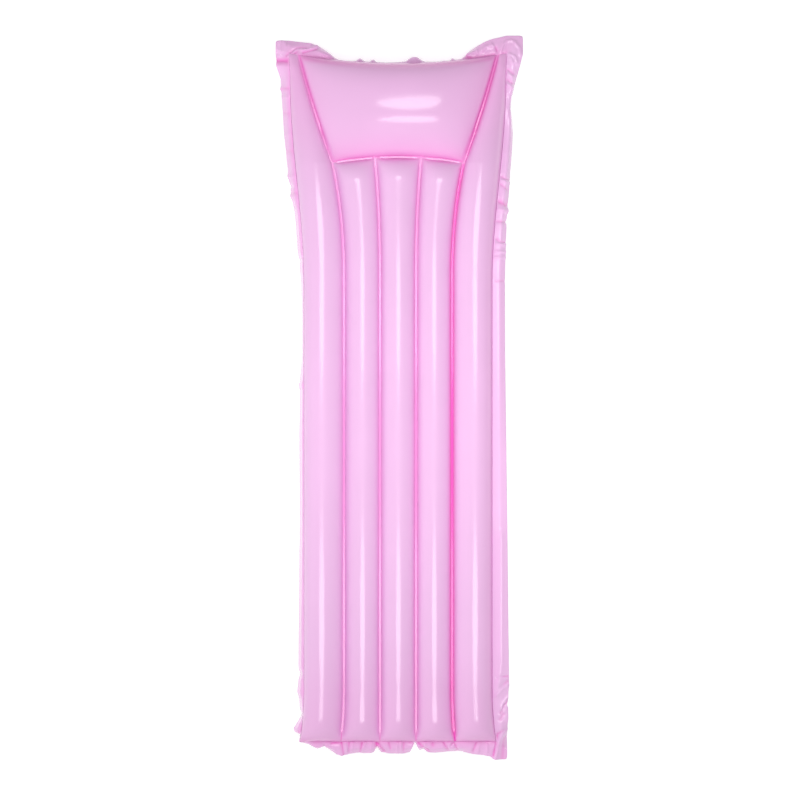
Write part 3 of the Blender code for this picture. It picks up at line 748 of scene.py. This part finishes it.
FOLDS = {
    "head_left": [
        ([(-282, 857), (-284, 825)], 4, 2.0), ([(-292, 812), (-269, 811)], 7, -2.5),
        ([(-243, 842), (-269, 823)], 2.5, -1.2), ([(-245, 837), (-264, 822)], 2.5, 1.2),
        ([(-243, 834), (-261, 818)], 2.5, -1.2), ([(-237, 843), (-214, 841)], 2.5, -1.4),
        ([(-231, 837), (-213, 839), (-196, 846)], 3, 2.4), ([(-228, 831), (-196, 840)], 2.5, -1.8),
        ([(-187, 830), (-169, 823)], 3, 1.4),
    ],
    "head_right": [
        ([(248, 835), (254, 851), (261, 858), (271, 860), (280, 857), (292, 842), (294, 825)], 3, 1.8),
        ([(269, 827), (281, 821), (286, 805)], 3, 1.6), ([(272, 817), (275, 807)], 4, 2.0),
        ([(254, 829), (261, 821)], 2.5, -1.4), ([(263, 790), (277, 780)], 3, -1.3),
        ([(264, 782), (276, 771)], 3, 1.3), ([(264, 765), (277, 756)], 3, -1.3),
        ([(264, 756), (276, 746)], 3, 1.2), ([(201, 835), (212, 845), (222, 846)], 3.5, 1.8),
        ([(223, 852), (230, 846)], 3, 1.4), ([(190, 836), (191, 829)], 3, 1.4),
        ([(162, 822), (179, 817), (208, 820), (231, 826)], 3, -1.6),
        ([(234, 845), (238, 835)], 2.5, -1.6),
    ],
    "right": [
        ([(249, -330), (249, -640), (240, -710)], 10, 2.4), ([(249, 533), (267, 525)], 3, -1.2),
        ([(248, 525), (266, 519)], 3, 1.4), ([(246, 516), (263, 503)], 3, -1.0),
        ([(241, 474), (260, 465)], 5, -1.8), ([(241, 455), (260, 451)], 4, 1.6),
        ([(237, 426), (259, 424)], 2.5, -1.2), ([(237, 383), (246, 376), (260, 375)], 2.5, -1.2),
        ([(237, 371), (259, 370)], 2.5, 1.3), ([(237, 353), (259, 352)], 2.5, 1.3),
        ([(233, 338), (257, 339)], 2.5, 1.3), ([(234, 283), (257, 282)], 2.0, -0.8),
        ([(238, -673), (265, -670)], 2.5, -1.8), ([(240, -707), (251, -692), (265, -682)], 4, -1.4),
        ([(238, -718), (248, -703), (265, -692)], 3, 1.6),
        ([(248, -758), (255, -740), (266, -727)], 3, -1.6),
        ([(248, -752), (255, -733), (266, -720)], 3, 1.6), ([(246, -775), (255, -762)], 3, -1.2),
    ],
    "foot_corner": [
        ([(240, -809), (258, -799)], 2.5, -1.8), ([(238, -814), (230, -863)], 3, -2.2),
        ([(260, -798), (246, -823), (239, -854), (235, -870)], 4, 2.4),
        ([(255, -816), (252, -869)], 6, -1.2),
    ],
    "foot": [
        ([(-160, -832), (-137, -829)], 3, -1.6), ([(-136, -830), (-131, -860)], 3, -1.6),
        ([(-125, -833), (-123, -857)], 4, 1.4), ([(-118, -828), (-119, -852)], 3, -1.5),
        ([(-108, -830), (-111, -853)], 4, 1.5), ([(-86, -828), (-90, -852)], 3, -1.7),
        ([(-78, -830), (-86, -853)], 3, 1.6), ([(-63, -833), (-67, -853)], 3, 1.4),
        ([(-52, -830), (-51, -846)], 4, -2.4), ([(-47, -834), (-33, -853)], 3, -1.8),
        ([(-23, -828), (-18, -845)], 3, -1.3), ([(-1, -833), (-1, -854)], 2.5, 1.4),
        ([(7, -833), (7, -854)], 2.5, 1.4), ([(14, -828), (12, -850)], 3, -1.2),
        ([(30, -829), (41, -825)], 3, -1.8), ([(41, -825), (53, -834), (73, -851)], 3, -2.0),
        ([(65, -831), (65, -839)], 4, 1.8), ([(84, -827), (84, -837)], 4, -1.4),
        ([(109, -829), (120, -847)], 3, -1.6), ([(125, -831), (125, -840)], 4, 1.6),
        ([(125, -841), (135, -828), (143, -849)], 2.5, -1.6), ([(189, -830), (181, -852)], 3, -1.4),
        ([(198, -830), (192, -854)], 4, 1.2), ([(215, -834), (215, -854)], 3, 1.5),
        ([(233, -831), (231, -840)], 4, 1.6),
    ],
    "left": [
        ([(-251, -797), (-235, -798)], 5, 1.2), ([(-230, -763), (-240, -762)], 4, -1.6),
        ([(-245, -797), (-234, -815)], 4, -1.0), ([(-281, 745), (-264, 746)], 4, -1.0),
        ([(-278, 727), (-261, 724)], 5, 0.8), ([(-274, 688), (-259, 686)], 6, -0.6),
        ([(-272, 637), (-254, 635)], 6, 0.6), ([(-270, 596), (-251, 596)], 6, -0.6),
        ([(-266, 534), (-246, 534)], 5, 0.7), ([(-260, 495), (-242, 495)], 5, -0.7),
    ],
}


# %% Stations along the closed seam
def edge_stations(edge):
    """Along one edge: the seam's points, the ways out, the reach, tilt, painted shade and level share.
    """
    stations = np.array(REACHES[edge])
    order = np.argsort(stations[:, 0])
    first, last = stations[0, 0], stations[-1, 0]
    inset = CORNER_RADIUS * np.sign(last - first)
    count = round(abs(last - first) / STATION_STEPS[edge])
    place = np.linspace(first + inset, last - inset, count)
    reach = np.interp(place, stations[order, 0], stations[order, 1])
    for centre, change, width in SCALLOPS[edge]:
        reach += change * np.exp(-(((place - centre) / width) ** 2))
    flat = np.zeros_like(place)
    sign = 1 if edge in ("right", "head") else -1
    if edge in ("right", "left"):
        seam = np.stack([sign * side_seam(place), place], axis=1)
        out = np.stack([flat + sign, flat], axis=1)
    else:
        seam = np.stack([place, head_seam(place) if edge == "head" else flat + FOOT_SEAM_Y], axis=1)
        out = np.stack([flat, flat + sign], axis=1)
    tilt = flat + radians(STRIP_TILTS[edge])
    tint = flat + FLANGE_SHADES[edge]
    if edge == "head":
        tint *= smooth(abs(place), *HEAD_SHADE_FROM)
    return seam, out, reach / 1000, tilt, tint, flat + LEVEL_SHARES[edge]


def corner_stations(before, after):
    """A quarter turn from one edge to the next, whose reach follows a square with soft corners."""
    turn = np.linspace(0, pi / 2, CORNER_STATIONS + 2)[1:-1, None]
    first, last = before[1][-1], after[1][0]
    out = np.cos(turn) * first + np.sin(turn) * last
    centre = np.where(abs(last) > 0.5, before[0][-1], after[0][0])
    wide, tall = before[2][-1] + CORNER_RADIUS, after[2][0] + CORNER_RADIUS
    shape = (np.cos(turn) / wide) ** TAB_SQUARENESS + (np.sin(turn) / tall) ** TAB_SQUARENESS
    reach = shape ** (-1 / TAB_SQUARENESS) - CORNER_RADIUS
    share = np.linspace(0, 1, CORNER_STATIONS)
    others = (mix(end[-1], start[0], share) for end, start in zip(before[3:], after[3:]))
    return centre + CORNER_RADIUS * out, out, reach[:, 0], *others


loop = ["right", "head", "left", "foot"]
edges = {name: edge_stations(name) for name in loop}
parts = []
for name, following in zip(loop, loop[1:] + loop[:1]):
    parts += [edges[name], corner_stations(edges[name], edges[following])]
seam, out, reach, tilt, tint, level_share = (np.concatenate(arrays) for arrays in zip(*parts))
print("Flange:", len(reach), "stations, reach", round(1000 * reach.min()), "to",
      round(1000 * reach.max()), "mm")

# %% [markdown]
# The bend is solved the simple way: the reach is worked out for a row of trial angles, and the
# angle for each wanted reach is read off that table. Where the flange reaches far, a flat weld
# strip shows beside the seam. Where it reaches little, it turns down at once. All but the left
# edge also stay level over a share of their reach, which keeps their bumps pale in the light.

# %% Cross-section of the flange
STRIP_WIDTH = 0.0035
BEND_LENGTH = 0.010
SHORT_BEND_SHARE = 0.3
SHORT_REACH = 0.006
FULL_REACH = 0.018
MOST_HANG = radians(97)
TRIAL_ANGLES = 60
BEGUN_SHARE = 0.55
SPARE_WIDTH = 0.0345
LEAST_SLACK = 1.012
COLUMN_CROWDING = 1.1

across_share = np.linspace(0, 1, REACH_COLUMNS) ** COLUMN_CROWDING
width = np.maximum(SPARE_WIDTH, reach * LEAST_SLACK)[:, None]
open_share = smooth(reach, SHORT_REACH, FULL_REACH)[:, None]


def hang_profile(hang):
    """Angle below level at each column: the strip's tilt, then a smooth bend to full hang.

    The flange keeps that tilt over the weld strip and over a share of its reach. Where little
    of the flange shows, there is no strip, and the bend has already begun.
    """
    strip = STRIP_WIDTH * open_share + (level_share * np.maximum(reach, 0))[:, None]
    bend = BEND_LENGTH * mix(SHORT_BEND_SHARE, 1, open_share)
    start = mix(BEGUN_SHARE * hang, tilt[:, None], open_share)
    return mix(start, hang, smooth(width * across_share, strip, strip + bend))


def run(angle, part):
    """Adds up the steps between the columns: level with the cosine, and down with the sine."""
    steps = width * np.diff(across_share) * part((angle[:, 1:] + angle[:, :-1]) / 2)
    return np.concatenate([np.zeros_like(steps[:, :1]), np.cumsum(steps, axis=1)], axis=1)


trial = np.linspace(0, MOST_HANG, TRIAL_ANGLES)
trial_reach = np.stack([run(hang_profile(hang), np.cos)[:, -1] for hang in trial], axis=1)
hang = np.array([np.interp(-r, -row, trial) for r, row in zip(reach, trial_reach)])[:, None]
angle = hang_profile(hang)
level = seam_level(seam[:, 0], seam[:, 1])[:, None]
outward, down = run(angle, np.cos), run(angle, np.sin)
flange_points = np.stack([
    seam[:, :1] + out[:, :1] * outward,
    seam[:, 1:] + out[:, 1:] * outward,
    level - down,
], axis=-1)

# %% [markdown]
# The air draws the seams in, so the flange has length to spare and folds. Each fold is a line in
# plan, with a width and a height, all in mm. A point near the line is pushed out along the
# flange's normal, up for a ridge and down for a valley, by a bell curve of its distance from it.

# %% Folds pressed into the flange
FOLD_SHARPNESS = 1.3
FOLD_GAIN = 2.0
# Painted shade: how much the pink deepens in a fold's valley for each metre it is pushed down, and how
# much more close to the seam.
VALLEY_SHADE = 130
NEAR_SEAM_GAIN = 4
NEAR_SEAM_FADE = 0.007
HELD_SHARE = 0.08
FLANGE_CREASE = radians(60)


def fold_distance(points, path):
    """Least distance in plan from each point to a path of straight pieces."""
    distances = []
    for start, end in zip(path[:-1], path[1:]):
        run_out = end - start
        share = np.clip((points - start) @ run_out / (run_out @ run_out), 0, 1)
        distances.append(np.linalg.norm(points - start - share[..., None] * run_out, axis=-1))
    return np.min(distances, axis=0)


along_step = np.roll(flange_points, -1, axis=0) - np.roll(flange_points, 1, axis=0)
across_step = np.gradient(flange_points, axis=1)
flange_normal = np.cross(across_step, along_step)
flange_normal /= np.linalg.norm(flange_normal, axis=-1, keepdims=True)
push = np.zeros(flange_points.shape[:2])
for group in FOLDS.values():
    for path, fold_width, fold_height in group:
        distance = 1000 * fold_distance(flange_points[..., :2], np.array(path) / 1000)
        bell = np.exp(-((distance / fold_width) ** FOLD_SHARPNESS))
        push += FOLD_GAIN * fold_height / 1000 * bell
push *= smooth(across_share, 0, HELD_SHARE)
flange_points += flange_normal * push[..., None]
flange_points[..., 2] = np.maximum(flange_points[..., 2], FLANGE_LAYERS / 2 + 2 * FLOOR_GAP)
print("Folds push the flange in mm:", [round(1000 * end, 1) for end in (push.min(), push.max())])

# %% Flange
# Painted shade on the flange: each edge's tint, deeper close to the seam, plus the folds' valleys.
near_seam = 1 + NEAR_SEAM_GAIN * open_share * np.exp(-width * across_share / NEAR_SEAM_FADE)
flange_shade = tint[:, None] * near_seam + VALLEY_SHADE * np.maximum(-push, 0)
flange_faces = grid_faces(*flange_points.shape[:2], flipped=True, ring=True)
edge_flange = add_mesh("edge_flange", flange_points, flange_faces, flange_vinyl, FLANGE_CREASE)
add_attribute(edge_flange, "groove_shade", flange_shade)
thicken(edge_flange, FLANGE_LAYERS, 0.0)
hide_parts("upper_sheet", "lower_sheet")
edge_flange.parent = upper_film

# %% [markdown]
# ## Valves
#
# Each chamber is blown up through a soft push-in valve. A round base is welded to the film, with
# a collar through the hole. A thin cone, the skirt, hangs in the collar and holds the stem, so
# the stem can be pushed in flush or pulled out to be blown into. A plug on a short strap closes
# the stem, and inside it the air presses a check flap against its end. What is round is made as
# a potter would, by turning a profile about the axis. Straps, lugs and tabs are swept bands.

# %% Valve sizes
BORE_RADIUS = 0.0040
RIM_RADIUS = 0.0072
STEM_DEPTH = 0.0150
RIM_HEIGHT = 0.0030
RIM_THICKNESS = 0.0015
BASE_THICKNESS = 0.0010
BASE_LIP = 0.0004
BEAD_RADIUS, BEAD_WIDTH, BEAD_HEIGHT = 0.0152, 0.0012, 0.00025
COLLAR_DEPTH = 0.0034
SKIRT_THICKNESS = 0.0006
SKIRT_DEPTH = 0.0120
SKIRT_STEP = 0.0005
SLEEVE_LENGTH = 0.0020
CAP_RADIUS = 0.0064
CAP_BOTTOM = 0.0033
CAP_THICKNESS = 0.0014
RECESS_RADIUS, RECESS_DEPTH = 0.0048, 0.0004
PLUG_LENGTH = 0.0055
PLUG_RADIUS, PLUG_TIP_RADIUS = 0.0037, 0.0025
STRAP_WIDTH, STRAP_THICKNESS = 0.0040, 0.0009
STRAP_PATH = [(0.0060, 0.0038), (0.0085, 0.0038), (0.0105, 0.0038), (0.0109, 0.0030),
              (0.0106, 0.0022)]
LUG_THICKNESS = 0.0010
LUG_PATH = [(0.0055, 0.0023), (0.0080, 0.0023), (0.0112, 0.0023)]
TAB_WIDTH, TAB_THICKNESS = 0.0048, 0.0008
TAB_PATH = [(-0.0052, 0.0040), (-0.0075, 0.0040), (-0.0096, 0.0042)]
RIDGES = [-0.0072, -0.0081, -0.0090]
RIDGE_HALF_WIDTH, RIDGE_LEVEL, RIDGE_LENGTH, RIDGE_THICKNESS = 0.0002, 0.0045, 0.0040, 0.0006
FLAP_RADIUS, FLAP_THICKNESS = 0.0050, 0.0005
TONGUE = [-0.0040, -0.0050, -0.0059]
EDGE_ROUNDING, THIN_ROUNDING, RIM_ROUNDING = 0.0004, 0.0002, 0.0005
TAB_ROUNDING, STRAP_ROUNDING = 0.0010, 0.0012

valve_materials = {
    "valve_vinyl": vinyl("moulded_vinyl", VALVE_PINK, roughness=0.30, ripple=0.25),
    "plug_vinyl": vinyl("moulded_plug_vinyl", PLUG_PINK, roughness=0.28, ripple=0.25),
    "flap_vinyl": vinyl("cut_flap_vinyl", FLAP_PINK, roughness=0.24, ripple=0.15),
}


# %% Valve pieces
def base_shells():
    """A flat ring with a raised bead where it is welded, and a collar with a rounded lip."""
    neck, top = OPENING_RADIUS + COLLAR_THICKNESS, GAP + BASE_THICKNESS
    bead = [(BEAD_RADIUS + BEAD_WIDTH * side, top + BEAD_HEIGHT * rise)
            for side, rise in ((0.5, 0), (0.25, 1), (-0.25, 1), (-0.5, 0))]
    return [turned(rounded([
        (OPENING_RADIUS, -COLLAR_DEPTH), (neck, -COLLAR_DEPTH), (neck, GAP), (BASE_RADIUS, GAP),
        (BASE_RADIUS, top), *bead, (neck + COLLAR_THICKNESS / 2, top), (neck, top + BASE_LIP),
        (OPENING_RADIUS, top + BASE_LIP)], EDGE_ROUNDING))]


def skirt_shells():
    """A thin cone from the collar in to a sleeve round the stem, in small steps so it can fold."""
    outside, inside = OPENING_RADIUS - GAP, STEM_RADIUS + GAP
    return [turned(divided(rounded([
        (outside, -GAP), (outside, -COLLAR_DEPTH), (inside + SKIRT_THICKNESS, -SKIRT_DEPTH),
        (inside + SKIRT_THICKNESS, -SKIRT_DEPTH - SLEEVE_LENGTH),
        (inside, -SKIRT_DEPTH - SLEEVE_LENGTH), (inside, -SKIRT_DEPTH + SKIRT_THICKNESS / 2),
        (outside - SKIRT_THICKNESS, -COLLAR_DEPTH + SKIRT_THICKNESS / 2),
        (outside - SKIRT_THICKNESS, -GAP)], THIN_ROUNDING), SKIRT_STEP))]


def stem_shells():
    """A tube with a soft-edged rim, and a lug beside it that carries the strap."""
    under_rim = RIM_HEIGHT - RIM_THICKNESS
    tube = [(BORE_RADIUS, -STEM_DEPTH), (STEM_RADIUS, -STEM_DEPTH), (STEM_RADIUS, under_rim),
            (RIM_RADIUS, under_rim), (RIM_RADIUS, RIM_HEIGHT), (BORE_RADIUS, RIM_HEIGHT)]
    return [turned(rounded(tube, RIM_ROUNDING)), swept(LUG_PATH, STRAP_WIDTH, LUG_THICKNESS)]


def plug_shells():
    """A tapered stopper under a cap with a shallow recess, and a tab with ridges to grip."""
    top, tip = CAP_BOTTOM + CAP_THICKNESS, CAP_BOTTOM - PLUG_LENGTH
    stopper = [(0, tip), (PLUG_TIP_RADIUS, tip), (PLUG_RADIUS, CAP_BOTTOM),
               (CAP_RADIUS, CAP_BOTTOM), (CAP_RADIUS, top), (RECESS_RADIUS + RECESS_DEPTH, top),
               (RECESS_RADIUS, top - RECESS_DEPTH), (0, top - RECESS_DEPTH)]
    ridges = [swept([(x + RIDGE_HALF_WIDTH * side, RIDGE_LEVEL) for side in (-1, 0, 1)],
                    RIDGE_LENGTH, RIDGE_THICKNESS) for x in RIDGES]
    return [turned(rounded(stopper, EDGE_ROUNDING, closed=False), closed=False),
            swept(rounded(TAB_PATH, TAB_ROUNDING, closed=False), TAB_WIDTH, TAB_THICKNESS),
            *ridges]


def strap_shells():
    """A short band from the cap over the hinge and down into the lug's end."""
    path = rounded(STRAP_PATH, STRAP_ROUNDING, closed=False)
    return [swept(path, STRAP_WIDTH, STRAP_THICKNESS)]


def flap_shells():
    """A thin round disc under the stem, with a tongue where it bends."""
    top = -STEM_DEPTH - GAP
    bottom = top - FLAP_THICKNESS
    disc = [(0, top), (FLAP_RADIUS, top), (FLAP_RADIUS, bottom), (0, bottom)]
    middle = top - FLAP_THICKNESS / 2
    tongue = swept([(x, middle) for x in TONGUE], STRAP_WIDTH, FLAP_THICKNESS)
    return [turned(rounded(disc, THIN_ROUNDING, closed=False), closed=False), tongue]


VALVE_PARTS = {
    "base": (base_shells, "valve_vinyl"), "skirt": (skirt_shells, "valve_vinyl"),
    "stem": (stem_shells, "valve_vinyl"), "plug": (plug_shells, "plug_vinyl"),
    "strap": (strap_shells, "plug_vinyl"), "flap": (flap_shells, "flap_vinyl"),
}
for valve, (axes, origin) in valve_frames.items():
    made = {}
    for part, (shells, slot) in VALVE_PARTS.items():
        made[part] = valve_piece(f"{valve}_{part}", valve, shells(), valve_materials[slot])
        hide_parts(f"{valve}_valve_{part}")
    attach(made["base"], "float")
    for part in ("stem", "plug", "flap"):
        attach(made[part], f"{valve}_{part}")
    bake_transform(made["skirt"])
    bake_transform(made["strap"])
    print(f"Faces of the {valve} valve:",
          {part: len(piece.data.polygons) for part, piece in made.items()})

# %% [markdown]
# ## Floor, light and camera
#
# The photo is a product shot on pure white, from straight above through a long lens. Two soft
# boxes overhead, one over each half, give the soft white streaks along the tubes. A third lamp,
# low over the middle and unseen in the gloss, lifts the crowns. The floor glows for the camera,
# the gloss and what shows through, so the background is white, and it casts no light of its own.

# %% Floor
WHITE = (1, 1, 1, 1)
FLOOR = {"Base Color": (0.86, 0.86, 0.86, 1), "Roughness": 0.9, "Specular IOR Level": 0.0,
         "Emission Color": WHITE}
FLOOR_GLOW = 0.6
FLOOR_HALF = 6.0

floor_material = bpy.data.materials.new("white_floor")
floor_material.use_nodes = True
tree = floor_material.node_tree
seen = 0.0
for ray in ("Is Camera Ray", "Is Glossy Ray", "Is Transmission Ray"):
    rays = node(tree, "ShaderNodeLightPath", ray)
    seen = node(tree, "ShaderNodeMath", "Value", {0: seen, 1: rays}, operation="MAXIMUM")
glow = node(tree, "ShaderNodeMath", "Value", {0: seen, 1: FLOOR_GLOW}, operation="MULTIPLY")
set_inputs(tree.nodes["Principled BSDF"], {"Emission Strength": glow, **FLOOR})
corners = np.array([(-1, -1, 0), (1, -1, 0), (1, 1, 0), (-1, 1, 0)]) * FLOOR_HALF
floor = add_mesh("floor", corners, np.array([[0, 1, 2, 3]]), floor_material)

# %% Camera
CAMERA_AIM = (0.0048, -0.0048)
FIELD = 1.928
LENS = 180
SENSOR = 36
AIM_HEIGHT = 0.04
FARTHEST = 50
camera_data = bpy.data.cameras.new("camera")
camera_data.lens = LENS
camera_data.sensor_width = SENSOR
camera_data.clip_end = FARTHEST
camera = bpy.data.objects.new("camera", camera_data)
camera.location = (*CAMERA_AIM, AIM_HEIGHT + FIELD / 2 / (SENSOR / 2 / LENS))
bpy.context.scene.collection.objects.link(camera)
bpy.context.scene.camera = camera
print("Camera height in m:", round(camera.location.z, 2))


# %% Lights
def soft_box(name, at, size, watts):
    """An oval lamp that faces straight down."""
    data = bpy.data.lights.new(name, "AREA")
    data.shape = "ELLIPSE"
    data.size, data.size_y = size
    data.energy = watts
    lamp = bpy.data.objects.new(name, data)
    lamp.location = at
    bpy.context.scene.collection.objects.link(lamp)
    return lamp


BOX_HEIGHT = 4.0
TOP_HEIGHT = 1.2
soft_box("head_box", at=(0.2, 0.43, BOX_HEIGHT), size=(2.1, 0.72), watts=18)
soft_box("foot_box", at=(0.2, -0.755, BOX_HEIGHT), size=(2.1, 0.60), watts=15)
top_lamp = soft_box("top_lamp", at=(0.0, 0.0, TOP_HEIGHT), size=(0.9, 0.7), watts=5.6)
top_lamp.visible_glossy = False

# %% [markdown]
# The rest of the light comes from a white studio all round, a little brighter on the left and
# at the foot: the left flanks of the tubes are paler than the right ones, and so is the flange
# at the foot beside the one at the head. The walls are brighter than the ceiling, so the flanks
# of the tubes stay nearly as light as their crowns.

# %% World
WORLD_STRENGTH = 0.80
WORLD_FALL = (-0.20, -0.18, -0.41)

world = bpy.data.worlds.new("studio")
world.use_nodes = True
tree = world.node_tree
direction = node(tree, "ShaderNodeTexCoord", "Generated")
fall = node(tree, "ShaderNodeVectorMath", "Value", {0: direction, 1: WORLD_FALL},
            operation="DOT_PRODUCT")
strength = node(tree, "ShaderNodeMath", "Value", {0: fall, 1: WORLD_STRENGTH}, operation="ADD")
set_inputs(tree.nodes["Background"], {"Color": WHITE, "Strength": strength})
bpy.context.scene.world = world
bpy.context.scene.view_settings.view_transform = "Standard"
